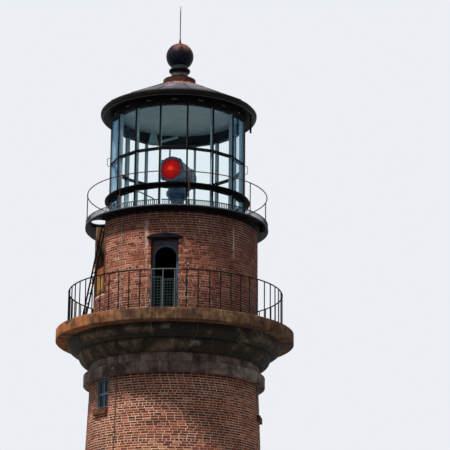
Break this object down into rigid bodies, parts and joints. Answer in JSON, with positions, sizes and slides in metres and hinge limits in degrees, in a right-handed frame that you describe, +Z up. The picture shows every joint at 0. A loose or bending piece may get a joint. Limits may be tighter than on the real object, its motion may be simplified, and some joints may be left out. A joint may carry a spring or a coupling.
{
  "type": "brick lighthouse with iron lantern and rotating beacon",
  "caption": "Round brick lighthouse with a corbelled stone gallery, watch room, iron lantern gallery, many-sided glass lantern, cone roof with ball vent and a rotating beacon",
  "frame": {"origin": "centre of the tower's base on the ground", "axes": "+Z up along the tower's axis, -Y towards the side with the gallery doorway, +X to that side's right"},
  "size_m": [6.3678, 6.3678, 16.6961],
  "materials": {
    "shaft_brick": "weathered red brick laid in pale mortar",
    "watch_brick": "orange-red brick with fine joints",
    "foundation_stone": "rough dressed stone",
    "brownstone_dark": "dark stained brownstone",
    "brownstone_mauve": "mauve-grey brownstone",
    "brownstone_tan": "tan brownstone with rust stains",
    "floor_stone": "plain stone floor",
    "black_iron": "black painted iron, worn",
    "plate_iron": "blue-grey painted iron plate",
    "rusty_iron": "rust-brown iron",
    "mullion_iron": "black outside, pale blue inside",
    "roof_metal": "weathered dark roof metal",
    "ball_copper": "dark weathered copper",
    "ceiling_paint": "grey-green paint",
    "lantern_glass": "clear plate glass",
    "window_glass": "dark window glass",
    "blue_grey_paint": "blue-grey paint",
    "guard_mesh": "grey-green mesh",
    "weathered_timber": "weathered timber",
    "tan_panel": "tan painted boards",
    "beacon_paint": "blue-grey enamel",
    "red_glass": "red lens glass",
    "clear_glass": "clear lens glass",
    "copper_strap": "weathered conductor strap",
    "rail_paint": "blue-grey paint"
  },
  "bodies": {
    "tower": {"beacon_pedestal": "beacon_paint", "belt_course": "brownstone_mauve", "ceiling_lamps": "ceiling_paint", "door_lintel": "black_iron", "eaves_gutter": "black_iron", "entrance_door": "blue_grey_paint", "entrance_frame": "blue_grey_paint", "entrance_step": "foundation_stone", "foundation_course": "foundation_stone", "frieze_course": "brownstone_mauve", "gallery_deck": "brownstone_tan", "gallery_door_frame": "blue_grey_paint", "gallery_door_guard": "guard_mesh", "gallery_ladder": "black_iron", "gallery_lamp": "black_iron", "gallery_railing_1": "black_iron", "gallery_railing_2": "black_iron", "gallery_railing_3": "black_iron", "gallery_railing_4": "black_iron", "gallery_support_ring": "black_iron", "lantern_ceiling": "ceiling_paint", "lantern_gallery_plate": "plate_iron", "lantern_gallery_rail": "rusty_iron", "lantern_glass": "lantern_glass", "lantern_handholds": "rusty_iron", "lantern_handrail": "rail_paint", "lantern_head": "black_iron", "lantern_ledge": "black_iron", "lantern_mullions": "mullion_iron", "lantern_rails": "black_iron", "lightning_conductor": "copper_strap", "lightning_rod": "black_iron", "lower_ovolo": "brownstone_dark", "roof_shell": "roof_metal", "shaft_wall_1": "shaft_brick", "shaft_wall_2": "shaft_brick", "shaft_wall_3": "shaft_brick", "shaft_wall_4": "shaft_brick", "side_opening_frame": "weathered_timber", "side_opening_panel": "tan_panel", "toe_grille": "black_iron", "upper_ovolo": "brownstone_dark", "vent_ball": "ball_copper", "vent_base": "roof_metal", "watch_room_floor": "floor_stone", "watch_room_wall_1": "watch_brick", "watch_room_wall_2": "watch_brick", "watch_room_wall_3": "watch_brick", "watch_room_wall_4": "watch_brick", "window_frames": "blue_grey_paint", "window_panes": "window_glass", "window_sills": "brownstone_mauve"},
    "beacon": {"beacon_drum": "beacon_paint", "red_lens": "red_glass", "clear_lens": "clear_glass", "beacon_yoke": "beacon_paint"}
  },
  "joints": [
    {"name": "beacon_turn", "type": "hinge", "parent": "tower", "child": "beacon", "pos_m": [0, 0, 11.28], "axis": [0, 0, 1], "continuous": true}
  ]
}
